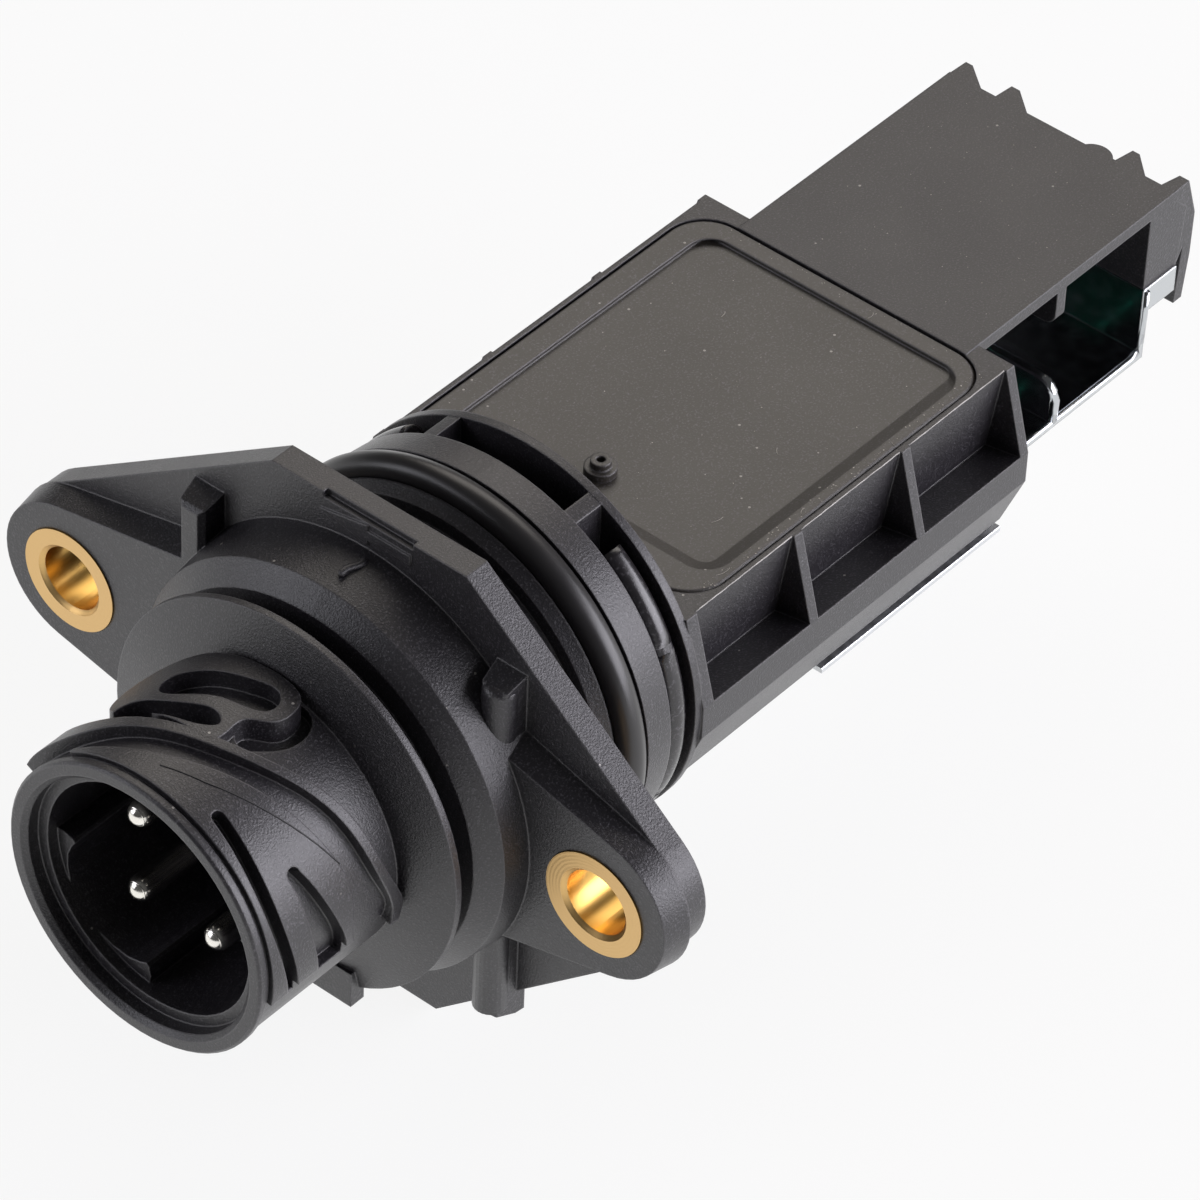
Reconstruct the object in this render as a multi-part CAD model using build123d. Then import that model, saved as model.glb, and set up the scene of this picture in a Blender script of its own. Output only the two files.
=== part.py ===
# Plug-in mass airflow sensor: a moulded body with a bayonet connector, a flange with two
# brass bushes, a sealed spigot, a lidded electronics housing and an open measuring duct.
# Millimetres. X runs along the insertion axis towards the duct, Z is up on the lid side, and
# the origin lies on the spigot axis in the rear face of the flange.
from build123d import *
import os
from math import asin, atan2, cos, hypot, radians, sin, sqrt

# Connector shroud and its socket
mouth_x = -31.6
shroud_r = 14.0
lip_r = 14.25
lip_bevel = 0.25
lip_depth = 0.9
socket_mouth_r = 12.5
socket_r = 11.4
socket_step = 1.7
socket_floor_x = -15.5
key_inner_r = 9.4
key_setback = 1.2
key_apex_angle = 3.5
key_places = ((0.5, -1, 30.0), (-85.5, 1, 33.0), (173.0, 1, 14.0))
key_inner_share = (0.14, 0.32, 0.58)

# Bayonet ribs, tracks and the latch loop on the shroud, as angles with front and rear edges
rib_r = 15.2
rib_angles = (27, 45, 63, 82, 101, 125, 148, 170, 193)
rib_front_x = (-30.0, -29.2, -27.3, -25.5, -23.9, -21.0, -18.8, -17.3, -16.0)
rib_rear_x = (-27.2, -26.6, -25.7, -24.3, -22.9, -20.0, -17.8, -16.3, -15.0)
land_r = 14.6
land_front_x = mouth_x + 1.2
land_angles = (56, 66, 78, 92, 112, 130, 149, 168, 190)
land_rear_x = (-29.9, -29.3, -28.3, -26.9, -24.6, -22.8, -21.2, -20.3, -20.0)
slot_floor_r = 13.0
entry_slot_angles = (118, 136, 158, 176, 195)
entry_slot_front_x = (-29.2, -29.6, -29.65, -29.05, -28.1)
entry_slot_rear_x = (-27.9, -28.3, -28.35, -27.75, -26.8)
middle_slot_angles = (148, 158, 170, 184, 196)
middle_slot_front_x = (-26.2, -25.8, -25.5, -24.9, -24.4)
middle_slot_rear_x = (-24.8, -23.8, -22.7, -21.4, -20.8)
latch_rear_x = -14.2
latch_floor_r = 13.4
latch_pocket_r = 12.9
latch_outline = (
    (-24.2, 9.4), (-22.3, 10.2), (-19.8, 10.3), (-17.4, 9.4), (-15.4, 7.3), (-14.5, 4.4),
    (-14.3, 1.0), (-14.3, -1.8), (-14.9, -3.6), (-16.6, -4.2), (-18.6, -3.7), (-20.2, -2.0),
    (-21.6, -1.9), (-23.2, -1.9), (-24.0, 3.0),
)
latch_recess = (
    (-20.7, 7.0), (-19.2, 7.2), (-17.7, 5.6), (-16.7, 3.0), (-16.0, 0.2), (-15.8, -2.0),
    (-16.7, -2.8), (-18.0, -2.7), (-19.0, -1.2), (-19.8, 2.0),
)
latch_pocket = (
    (-24.3, 8.2), (-23.2, 7.4), (-22.3, 4.8), (-21.3, 2.0), (-21.1, 0.0), (-22.0, -0.9),
    (-23.0, 0.0), (-24.0, 3.6),
)
latch_side_pocket = (
    (-21.7, -2.6), (-20.6, -1.6), (-18.6, -2.6), (-16.6, -3.2), (-15.0, -2.6), (-14.6, -4.2),
    (-15.5, -5.3), (-17.4, -5.7), (-19.4, -5.2), (-21.1, -4.1),
)

# Collars between the shroud and the flange
front_collar_x = -14.3
front_collar_r = 19.3
front_collar_cone = 1.4
front_collar_rim = 0.7
neck_r = 16.0
rear_collar_x = -9.8
rear_collar_r = 18.5
barrel_front_x = -8.1
barrel_r = 20.5
barrel_root_r = 21.2
stop_block_half = 8.7
stop_block_drop = 18.9

# Flange, ears and bushes; the bush pair sits off centre so that it bolts up one way only
rim_thickness = 2.65
ear_thickness = 5.3
bush_pitch = 60.0
bush_offset = 2.0
ear_r = 7.65
ear_rise = 0.7
flange_height = 52.1
flange_sag = 1.45
lobe_r = 7.6
lobe_base_r = 8.1
lobe_rise = 0.2
rim_top_half = 10.8
rim_bottom_half = 8.8
lobe_root_half = 11.5
lobe_base_root_half = 13.0
lobe_root_y = 13.5
bush_outer_r = 5.2
bush_bore_r = 3.2
bush_proud = 0.15
bush_fit = 0.02
bush_bore_chamfer = 0.4
post_width = 3.2
post_front_width = 2.8
post_y = 17.8
post_side_shift = 1.7
post_top_reach = 16.9
post_bottom_reach = 21.0
post_end_rise = 0.9
arrow_tip_y = 5.3
arrow_tail_y = -4.8
arrow_head_length = 5.4
arrow_head_width = 2.2
arrow_shaft_width = 1.0
arrow_height = 0.2
arrow_drop = 1.8
gate_mark_half = 5.0
gate_mark_depth = 0.6

# Spigot behind the flange and its sealing ring
spigot_core_r = 17.0
land1_x = 6.75
land1_r = 18.4
land1_rear_r = 19.15
groove_x = 7.95
groove_r = 17.9
land2_x = 10.95
land2_r = 20.3
land2_rear_x = 14.3
land2_rear_r = 20.0
slot_core_r = 13.5
disc_x = 17.6
disc_r = 20.0
disc_thickness = 0.9
bridge_y = 7.9
bridge_width = 1.4
snap_ring_x = 15.85
snap_ring_section_r = 1.2
snap_ring_r = 19.9
snap_ring_start = 126.0
ring_section_r = 1.45
ring_seat_gap = 0.02
section_sides = 14

# Electronics housing
housing_rear_x = 64.0
lid_plane_z = 9.7
top_half = 17.8
ledge_half = 20.2
ledge_z = 0.9
side_foot_z = -2.5
bottom_half = 17.8
bottom_corner_z = -8.5
bottom_z = -9.7
bottom_flat_half = 14.5
pocket_wall_half = 16.2
pocket_floor_z = 0.2
gusset_thickness = 1.1
gusset_x = (18.7, 33.0, 48.0, housing_rear_x - gusset_thickness)

# Compartment, lid and what the lid carries
cavity_front_x = 25.0
cavity_rear_x = housing_rear_x - 3.6
cavity_half = 13.6
cavity_floor_z = -7.6
cavity_corner_r = 2.0
lid_front_x = 20.3
lid_rear_x = housing_rear_x - 1.8
lid_half = 17.0
lid_corner_r = 4.2
lid_thickness = 1.5
lid_clearance = 0.08
panel_front_x = 25.4
panel_rear_x = lid_rear_x - 2.2
panel_half = 14.3
panel_corner_r = 1.3
panel_depth = 0.45
panel_slope = 1.5
lid_edge_chamfer = 0.3
vent_x = 28.6
vent_y = 0.4
vent_base_r = 1.5
vent_top_r = 0.95
vent_step = 0.8
vent_height = 1.5
vent_hole_r = 0.42
vent_stem_r = 0.8
seal_width = 1.2
seal_height = 0.6

# Roof plate and the open duct
roof_half = 13.75
roof_far_y = 12.5
roof_thickness = 1.3
roof_rear_x = 93.3
liner_lip_x = roof_rear_x + 1.4
fin_length = 2.2
fin_roots = ((8.8, 12.4), (3.4, 7.1), (-10.3, -6.85), (-13.75, -12.15))
fin_tips = ((11.5, 12.3), (5.95, 6.9), (-8.0, -7.2), (-13.7, -12.6))
fin_bottom_z = -4.5
fin_belly = 1.5
end_boss_y = -5.0
end_boss_r = 1.9
end_boss_proud = 0.85
end_block_x = roof_rear_x - 3.55
end_block_bottom_z = 0.4
tongue_x = housing_rear_x + 11.8
tongue_thickness = 1.3
tongue_bottom_z = 4.6
tongue_corner_r = 1.3
rear_wall_thickness = 3.0

# Metal duct liner, which is also the base plate of the housing
liner_floor_z = -7.0
liner_thickness = 1.1
liner_half = 13.9
liner_wall_x = end_block_x - 0.05
liner_wall_thickness = 0.8
liner_wall_top_z = end_block_bottom_z - 0.05
liner_lip_height = 2.9
divider_x = tongue_x + 0.4
divider_thickness = 1.0
divider_top_z = -2.7
divider_corner_r = 1.6
base_front_x = 22.0
base_half = 14.3
base_recess = 0.05

# Pins, circuit and sensing element
pin_r = 1.25
pin_half_pitch = 4.35
pin_tip_x = -27.0
pin_body_end_x = -9.0
lead_width = 1.2
lead_height = 0.6
lead_end_x = 29.4
lead_stagger = 2.6
wire_half = 0.25
wire_setback = 0.7
pin_fit = 0.03
board_front_x = 27.2
board_rear_x = cavity_rear_x - 4.8
board_half = 12.4
board_thickness = 0.8
chip_size = (7.0, 7.0, 1.6)
chip_x = 44.0
output_chip_size = (5.0, 4.0, 1.4)
output_chip_place = (36.5, 7.0)
capacitor_size = (3.2, 1.6, 1.4)
capacitor_places = ((35.5, -7.5), (40.0, -8.5), (51.0, 7.5), (51.0, -9.5))
resistor_size = (2.0, 1.25, 0.6)
resistor_places = ((50.5, -5.0), (50.5, -2.0), (50.5, 1.0), (45.0, 8.5), (41.5, 8.5))
element_reach = 16.4
element_width = 6.0
element_thickness = 0.8
element_z = 2.2
element_root = 5.5
film_size = (5.0, 3.6, 0.1)
film_x = housing_rear_x + 8.0
thermistor_size = (1.6, 0.8, 0.6)
thermistor_x = housing_rear_x + 14.5
holder_front_x = cavity_rear_x - 4.2
holder_half = 5.0
holder_top = 1.2

rim_top_z = flange_height / 2 - flange_sag
rim_bottom_z = flange_height / 2 + flange_sag
ear_front_x = -ear_thickness
rim_front_x = -rim_thickness
housing_front_x = disc_x + disc_thickness
lid_seat_z = lid_plane_z - lid_thickness
board_top_z = cavity_floor_z + board_thickness
roof_under_z = lid_plane_z + 0.1 - roof_thickness
roof_top_z = lid_plane_z + 0.1
bush_ys = (bush_offset + bush_pitch / 2, bush_offset - bush_pitch / 2)


def block(x0, x1, y0, y1, z0, z1):
    """A box between two corners."""
    size = Box(x1 - x0, y1 - y0, z1 - z0)
    return Pos((x0 + x1) / 2, (y0 + y1) / 2, (z0 + z1) / 2) * size


def turned(points):
    """A solid of revolution about the insertion axis from (x, radius) points."""
    outline = Polyline(*[(x, 0, r) for x, r in points], close=True)
    return revolve(make_face(outline), Axis.X, 360)


def prism_x(points, x0, x1):
    """A (y, z) outline drawn out along X."""
    outline = Polyline(*[(x0, y, z) for y, z in points], close=True)
    return extrude(make_face(outline), amount=x1 - x0, dir=(1, 0, 0))


def prism_z(points, z0, z1):
    """An (x, y) outline drawn out along Z."""
    outline = Polyline(*[(x, y, z0) for x, y in points], close=True)
    return extrude(make_face(outline), amount=z1 - z0, dir=(0, 0, 1))


def prism_y(points, y0, y1):
    """An (x, z) outline drawn out along Y."""
    outline = Polyline(*[(x, y0, z) for x, z in points], close=True)
    return extrude(make_face(outline), amount=y1 - y0, dir=(0, 1, 0))


def rounded_plate(x0, x1, half, corner_r, z0, z1):
    """A flat plate with rounded corners, centred on the XZ plane."""
    outline = RectangleRounded(x1 - x0, 2 * half, corner_r)
    return extrude(Pos((x0 + x1) / 2, 0, z0) * outline, amount=z1 - z0)


def polar(angle, radius):
    """The (y, z) point at an angle from +Y towards +Z."""
    return radius * cos(radians(angle)), radius * sin(radians(angle))


def ring_section(middle_x, middle_r, section_r):
    """The corners of a round section beside the insertion axis, as (x, radius) points."""
    corners = []
    for index in range(section_sides):
        turn = 2 * 3.14159265 * (index + 0.5) / section_sides
        corners.append((middle_x + section_r * cos(turn), middle_r + section_r * sin(turn)))
    return corners


def wound_bar(angles, fronts, rears, inner_r, outer_r):
    """A bar wound round the shroud, with its front and rear edge given angle by angle."""
    rows = []
    middle_r = (inner_r + outer_r) / 2
    for angle, front, rear in zip(angles, fronts, rears):
        spot = Plane(
            origin=((front + rear) / 2, *polar(angle, middle_r)),
            x_dir=(1, 0, 0),
            z_dir=(0, *polar(angle + 90, 1)),
        )
        rows.append(spot * Rectangle(rear - front, outer_r - inner_r))
    return loft(rows)


def wound_slot(angles, fronts, rears):
    """A slot wound into the shroud, with a round start."""
    slot = wound_bar(angles, fronts, rears, slot_floor_r, rib_r + 0.5)
    height = rib_r + 0.5 - slot_floor_r
    start = Pos((fronts[0] + rears[0]) / 2, 0, slot_floor_r + height / 2) * Cylinder(
        (rears[0] - fronts[0]) / 2, height
    )
    return slot + Rot(angles[0] - 90, 0, 0) * start


def shroud_and_spigot():
    """The turned form of the moulding, from the connector mouth to the disc behind the seal."""
    return turned([
        (mouth_x, 0),
        (mouth_x, lip_r - lip_bevel),
        (mouth_x + lip_bevel, lip_r),
        (mouth_x + lip_depth, lip_r),
        (mouth_x + lip_depth + lip_bevel, shroud_r),
        (front_collar_x, shroud_r),
        (front_collar_x + front_collar_cone, front_collar_r),
        (front_collar_x + front_collar_cone + front_collar_rim, front_collar_r),
        (front_collar_x + front_collar_cone + front_collar_rim, neck_r),
        (rear_collar_x, neck_r),
        (rear_collar_x, rear_collar_r),
        (barrel_front_x, barrel_r),
        (rim_front_x, barrel_root_r),
        (rim_front_x / 2, barrel_root_r),
        (rim_front_x / 2, spigot_core_r),
        (land1_x, spigot_core_r),
        (land1_x, land1_r),
        (groove_x, land1_rear_r),
        (groove_x, groove_r),
        (land2_x, groove_r),
        (land2_x, land2_r),
        (land2_rear_x, land2_rear_r),
        (land2_rear_x, slot_core_r),
        (disc_x, slot_core_r),
        (disc_x, disc_r),
        (housing_front_x, disc_r),
        (housing_front_x, 0),
    ])


def socket_bore():
    """The connector socket, wider at its mouth."""
    bore = turned([
        (mouth_x - 1, 0),
        (mouth_x - 1, socket_mouth_r + 0.5),
        (mouth_x, socket_mouth_r + 0.5),
        (mouth_x + 0.5, socket_mouth_r),
        (mouth_x + socket_step, socket_mouth_r),
        (mouth_x + socket_step, socket_r),
        (socket_floor_x, socket_r),
        (socket_floor_x, 0),
    ])
    for angle, side, reach in key_places:
        apex = side * key_apex_angle
        key = prism_x([
            polar(0, socket_r + 0.6), polar(0, socket_r - 0.7),
            polar(apex * 0.5, key_inner_r + 0.2), polar(apex, key_inner_r),
            polar(apex + side * reach * key_inner_share[0], key_inner_r + 0.5),
            polar(apex + side * reach * key_inner_share[1], key_inner_r + 1.1),
            polar(apex + side * reach * key_inner_share[2], key_inner_r + 1.6),
            polar(side * reach, socket_r + 0.05), polar(side * reach, socket_r + 0.6),
        ], mouth_x + socket_step + key_setback, socket_floor_x)
        bore -= Rot(angle, 0, 0) * key
    return bore


def latch_form(points, inner_r, outer_r):
    """A smooth (x, y) outline on top of the shroud, between two radii."""
    column = extrude(make_face(Spline(*points, periodic=True)), amount=rib_r + 1)
    shell = turned([
        (mouth_x, inner_r), (mouth_x, outer_r), (latch_rear_x, outer_r), (latch_rear_x, inner_r),
    ])
    return column & shell


def bayonet_details(body):
    """Two ribs and lands wound round the shroud, half a turn apart, and the latch loop."""
    for turn, first in ((0, 0), (180, 2)):
        body += Rot(turn, 0, 0) * wound_bar(
            rib_angles[first:], rib_front_x[first:], rib_rear_x[first:], shroud_r - 0.5, rib_r
        )
        land = wound_bar(
            land_angles, [land_front_x] * len(land_angles), land_rear_x, shroud_r - 0.5, land_r
        )
        body += Rot(turn, 0, 0) * land
        body -= Rot(turn, 0, 0) * wound_slot(
            entry_slot_angles, entry_slot_front_x, entry_slot_rear_x
        )
        body -= Rot(turn, 0, 0) * wound_slot(
            middle_slot_angles, middle_slot_front_x, middle_slot_rear_x
        )
    body -= latch_form(latch_side_pocket, latch_pocket_r, rib_r + 0.5)
    body += latch_form(latch_outline, latch_pocket_r - 0.3, rib_r)
    body -= latch_form(latch_recess, latch_floor_r, rib_r + 0.5)
    body -= latch_form(latch_pocket, latch_pocket_r, rib_r + 0.5)
    return body


def tangent_point(corner, centre, radius, side):
    """Where the straight from a corner touches a circle, on the chosen side."""
    dy, dz = centre[0] - corner[0], centre[1] - corner[1]
    distance = hypot(dy, dz)
    heading = atan2(dz, dy) + side * asin(radius / distance)
    reach = sqrt(distance ** 2 - radius ** 2)
    return corner[0] + reach * cos(heading), corner[1] + reach * sin(heading)


def ear_face(ear_y, centre_z, radius, top, bottom):
    """A flank that runs from a top and a bottom corner onto a round ear end."""
    side = 1 if ear_y > 0 else -1
    centre = (ear_y, centre_z)
    upper = tangent_point(top, centre, radius, side)
    lower = tangent_point(bottom, centre, radius, -side)
    tip = (ear_y + side * radius, centre_z)
    edges = [
        Line(top, upper), ThreePointArc(upper, tip, lower), Line(lower, bottom), Line(bottom, top),
    ]
    return make_face(edges)


def rim_outline():
    """The flange rim: flats above and below, and straight flanks that run onto round ears."""
    body = make_face(Polyline(
        (-rim_top_half, rim_top_z), (rim_top_half, rim_top_z),
        (rim_bottom_half, -rim_bottom_z), (-rim_bottom_half, -rim_bottom_z), close=True,
    ))
    for ear_y in bush_ys:
        side = 1 if ear_y > 0 else -1
        top = (side * rim_top_half, rim_top_z)
        bottom = (side * rim_bottom_half, -rim_bottom_z)
        body = body + ear_face(ear_y, ear_rise, ear_r, top, bottom)
    return body


def ear_lobe(ear_y):
    """One ear lobe in front of the rim, with drafted flanks."""
    side = 1 if ear_y > 0 else -1
    facing = Plane(origin=(0, 0, 0), x_dir=(0, 1, 0), z_dir=(1, 0, 0))
    faces = []
    for x, radius, root_half in (
        (ear_front_x, lobe_r, lobe_root_half),
        (rim_front_x + 0.2, lobe_base_r, lobe_base_root_half),
    ):
        root = side * lobe_root_y
        outline = ear_face(ear_y, lobe_rise, radius, (root, root_half), (root, -root_half))
        faces.append(facing * Pos(0, 0, x) * outline)
    return loft(faces, ruled=True)


def flange():
    """The flange rim with its ear lobes, ribs, gate mark and airflow arrow."""
    facing = Plane(origin=(0, 0, 0), x_dir=(0, 1, 0), z_dir=(1, 0, 0))
    plate = extrude(facing * Pos(0, 0, -rim_thickness) * rim_outline(), amount=rim_thickness)
    for ear_y in bush_ys:
        plate += ear_lobe(ear_y)
    for side in (1, -1):
        middle = side * post_y + (post_side_shift if side < 0 else 0)
        for reach, up in ((post_top_reach, 1), (post_bottom_reach, -1)):
            side_view = prism_y([
                (ear_front_x, up * 8), (ear_front_x, up * (reach - 0.4)),
                (ear_front_x + 0.4, up * reach), (rim_front_x, up * (reach + post_end_rise)),
                (rim_front_x + 1, up * (reach + post_end_rise)), (rim_front_x + 1, up * 8),
            ], middle - post_width, middle + post_width)
            plan = prism_z([
                (ear_front_x, middle - post_front_width / 2 + 0.5),
                (ear_front_x + 0.5, middle - post_front_width / 2),
                (rim_front_x + 1, middle - post_width / 2 - 0.2),
                (rim_front_x + 1, middle + post_width / 2 + 0.2),
                (ear_front_x + 0.5, middle + post_front_width / 2),
                (ear_front_x, middle + post_front_width / 2 - 0.5),
            ], -flange_height, flange_height)
            plate += side_view & plan
    plate -= block(
        rim_front_x - 1, rim_front_x + gate_mark_depth, -gate_mark_half, gate_mark_half,
        rim_top_z - gate_mark_depth, rim_top_z + 1,
    )
    head_y = arrow_tip_y - arrow_head_length
    arrow_z = rim_top_z - arrow_drop
    arrow = prism_x([
        (arrow_tip_y, arrow_z), (head_y, arrow_z + arrow_head_width / 2),
        (head_y, arrow_z + arrow_shaft_width / 2), (arrow_tail_y, arrow_z + arrow_shaft_width / 2),
        (arrow_tail_y, arrow_z - arrow_shaft_width / 2), (head_y, arrow_z - arrow_shaft_width / 2),
        (head_y, arrow_z - arrow_head_width / 2),
    ], rim_front_x - arrow_height, rim_front_x + 0.2)
    return plate + arrow


def housing_outline():
    """The (y, z) section of the electronics housing."""
    right = [
        (top_half, lid_plane_z), (ledge_half, ledge_z), (ledge_half, side_foot_z),
        (bottom_half, bottom_corner_z), (bottom_flat_half, bottom_z),
    ]
    return right + [(-y, z) for y, z in reversed(right)]


def housing():
    """The electronics housing with gusset ribs and pockets along both sides."""
    box = prism_x(housing_outline(), housing_front_x - 0.1, housing_rear_x)
    for front, rear in zip(gusset_x[:-1], gusset_x[1:]):
        for side in (1, -1):
            box -= prism_x([
                (side * (top_half - 0.15), lid_plane_z + 0.5),
                (side * pocket_wall_half, pocket_floor_z),
                (side * (ledge_half + 0.5), ledge_z + 0.15),
                (side * (ledge_half + 0.5), lid_plane_z + 0.5),
            ], front + gusset_thickness, rear)
    return box


def bridges():
    """Two ribs and a split snap ring in the slot between the seal lands and the disc."""
    parts = None
    for side in (1, -1):
        rib = block(
            land2_rear_x - 0.5, disc_x + 0.3,
            side * bridge_y - bridge_width / 2, side * bridge_y + bridge_width / 2,
            -land2_rear_r, land2_rear_r,
        )
        parts = rib if parts is None else parts + rib
    parts = parts & turned([
        (land2_rear_x - 0.5, 0), (land2_rear_x - 0.5, land2_rear_r - 0.05),
        (disc_x + 0.3, disc_r - 0.05), (disc_x + 0.3, 0),
    ])
    bead_r = snap_ring_r - snap_ring_section_r
    ring = turned(ring_section(snap_ring_x, bead_r, snap_ring_section_r)) + turned([
        (land2_rear_x - 0.3, slot_core_r - 1), (land2_rear_x - 0.3, bead_r),
        (snap_ring_x, bead_r), (snap_ring_x, slot_core_r - 1),
    ])
    top_y, top_z = polar(snap_ring_start, 2 * disc_r)
    window = prism_x([(0, 0), (top_y, top_z), (-top_y, top_z)], land2_rear_x - 1, disc_x + 1)
    return parts + (ring - window)


def roof_and_end():
    """The roof plate over the duct, its end block, end fins and the hanging tongue."""
    roof = block(
        housing_rear_x - rear_wall_thickness, roof_rear_x, -roof_half, roof_far_y,
        roof_under_z, roof_top_z,
    )
    for outer, inner in ((-roof_half, -roof_half + 2), (roof_far_y, roof_far_y - 2)):
        roof += prism_y([
            (roof_rear_x - 1, end_block_bottom_z), (liner_lip_x, end_block_bottom_z),
            (roof_rear_x + fin_length, roof_top_z - 3), (roof_rear_x - 1, roof_top_z),
        ], min(outer, inner), max(outer, inner))
    roof += block(
        end_block_x, roof_rear_x, -roof_half, roof_far_y, end_block_bottom_z, roof_top_z
    )
    side_view = [
        (roof_rear_x - 0.5, roof_top_z), (roof_rear_x + fin_length, roof_top_z),
        (roof_rear_x + fin_length + fin_belly, roof_top_z - 4.5),
        (roof_rear_x + fin_length + fin_belly - 0.1, end_block_bottom_z),
        (roof_rear_x + fin_length + fin_belly - 0.7, fin_bottom_z),
        (liner_lip_x + 0.35, fin_bottom_z), (liner_lip_x + 0.9, end_block_bottom_z + 1.6),
        (liner_lip_x, end_block_bottom_z), (roof_rear_x - 0.5, end_block_bottom_z),
    ]
    for (root_low, root_high), (tip_low, tip_high) in zip(fin_roots, fin_tips):
        plan = prism_z([
            (roof_rear_x - 1, root_low), (roof_rear_x, root_low),
            (roof_rear_x + fin_length, tip_low), (roof_rear_x + 2 * fin_length, tip_low),
            (roof_rear_x + 2 * fin_length, tip_high), (roof_rear_x + fin_length, tip_high),
            (roof_rear_x, root_high), (roof_rear_x - 1, root_high),
        ], fin_bottom_z - 1, roof_top_z + 1)
        roof += prism_y(side_view, root_low - 1, root_high + 1) & plan
    boss_height = roof_top_z - end_block_bottom_z
    roof += Pos(
        roof_rear_x + end_boss_proud - end_boss_r, end_boss_y, roof_top_z - boss_height / 2
    ) * Cylinder(end_boss_r, boss_height)
    tongue = block(
        tongue_x, tongue_x + tongue_thickness, -roof_half, roof_far_y,
        tongue_bottom_z, roof_under_z + 0.1,
    )
    lower_edges = tongue.edges().filter_by(Axis.X).group_by(Axis.Z)[0]
    roof += fillet(lower_edges, tongue_corner_r)
    return roof


def lead_channels():
    """Straight channels for the four pins, round in front and flat behind."""
    channels = []
    for y, z in pin_places():
        round_part = Pos((socket_floor_x + pin_body_end_x) / 2, y, z) * Rot(0, 90, 0) * Cylinder(
            pin_r + pin_fit, pin_body_end_x - socket_floor_x + 0.02
        )
        flat_part = block(
            pin_body_end_x - 0.01, cavity_front_x + 0.5,
            y - lead_width / 2 - pin_fit, y + lead_width / 2 + pin_fit,
            z - lead_height / 2 - pin_fit, z + lead_height / 2 + pin_fit,
        )
        channels.append(round_part + flat_part)
    return channels


def pin_places():
    """The four pins stand in a square round the axis."""
    steps = (pin_half_pitch, -pin_half_pitch)
    return [(y, z) for z in steps for y in steps]


def compartment():
    """The hollow for the circuit, the lid recess above it and the base recess below."""
    hollow = rounded_plate(
        cavity_front_x, cavity_rear_x, cavity_half, cavity_corner_r, cavity_floor_z, lid_plane_z
    )
    hollow += rounded_plate(
        lid_front_x - lid_clearance, lid_rear_x + lid_clearance, lid_half + lid_clearance,
        lid_corner_r + lid_clearance, lid_seat_z, lid_plane_z + 1,
    )
    hollow += block(
        base_front_x - lid_clearance, housing_rear_x + 1, -base_half - lid_clearance,
        base_half + lid_clearance, bottom_z - 1, bottom_z + liner_thickness + base_recess,
    )
    hollow += block(
        cavity_rear_x - 1, housing_rear_x + 1,
        -element_width / 2 - pin_fit, element_width / 2 + pin_fit,
        element_z - element_thickness / 2 - pin_fit, element_z + element_thickness / 2 + pin_fit,
    )
    return hollow


def stop_block():
    """The square stop under the front collar."""
    return block(
        front_collar_x + 0.4, front_collar_x + front_collar_cone + front_collar_rim,
        -stop_block_half, stop_block_half, -stop_block_drop, -neck_r + 1,
    )


def sensor_body():
    """The one-piece moulding."""
    body = shroud_and_spigot() + flange() + housing() + bridges() + stop_block() + roof_and_end()
    body = bayonet_details(body)
    body -= socket_bore()
    body -= compartment()
    for channel in lead_channels():
        body -= channel
    for ear_y in bush_ys:
        body -= Pos(-ear_thickness / 2, ear_y, 0) * Rot(0, 90, 0) * Cylinder(
            bush_outer_r + bush_fit, 2 * ear_thickness
        )
    return body


def bush(ear_y):
    """A turned brass bush pressed into an ear, a little proud of both faces."""
    length = ear_thickness + 2 * bush_proud
    tube = Cylinder(bush_outer_r, length) - Cylinder(bush_bore_r, length)
    rims = tube.edges().filter_by(GeomType.CIRCLE).sort_by(SortBy.RADIUS)[:2]
    tube = chamfer(rims, bush_bore_chamfer)
    return Pos(-ear_thickness / 2, ear_y, 0) * Rot(0, 90, 0) * tube


def lead_end(z):
    """The upper leads run further back, past the lower ones."""
    return lead_end_x + (lead_stagger if z > 0 else 0)


def contact_pin(y, z):
    """A round-nosed pin with a flat lead behind it."""
    pin = Pos(0, y, z) * turned([
        (pin_tip_x, 0), (pin_tip_x, pin_r * 0.4), (pin_tip_x + pin_r * 0.3, pin_r * 0.8),
        (pin_tip_x + pin_r * 0.9, pin_r),
        (pin_body_end_x, pin_r), (pin_body_end_x, 0),
    ])
    lead = block(
        pin_body_end_x - 0.01, lead_end(z), y - lead_width / 2, y + lead_width / 2,
        z - lead_height / 2, z + lead_height / 2,
    )
    return pin + lead


def bond_wires():
    """Four wires between the leads and the board."""
    wires = []
    for y, z in pin_places():
        wire_x = lead_end(z) - wire_setback
        wires.append(block(
            wire_x - wire_half, wire_x + wire_half, y - wire_half, y + wire_half,
            board_top_z, z - lead_height / 2,
        ))
    return Compound(children=wires)


def sealing_ring():
    """The rubber O-ring seated in its groove."""
    path_r = groove_r + ring_seat_gap + ring_section_r
    middle_x = (groove_x + land2_x) / 2
    return turned(ring_section(middle_x, path_r, ring_section_r))


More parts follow.
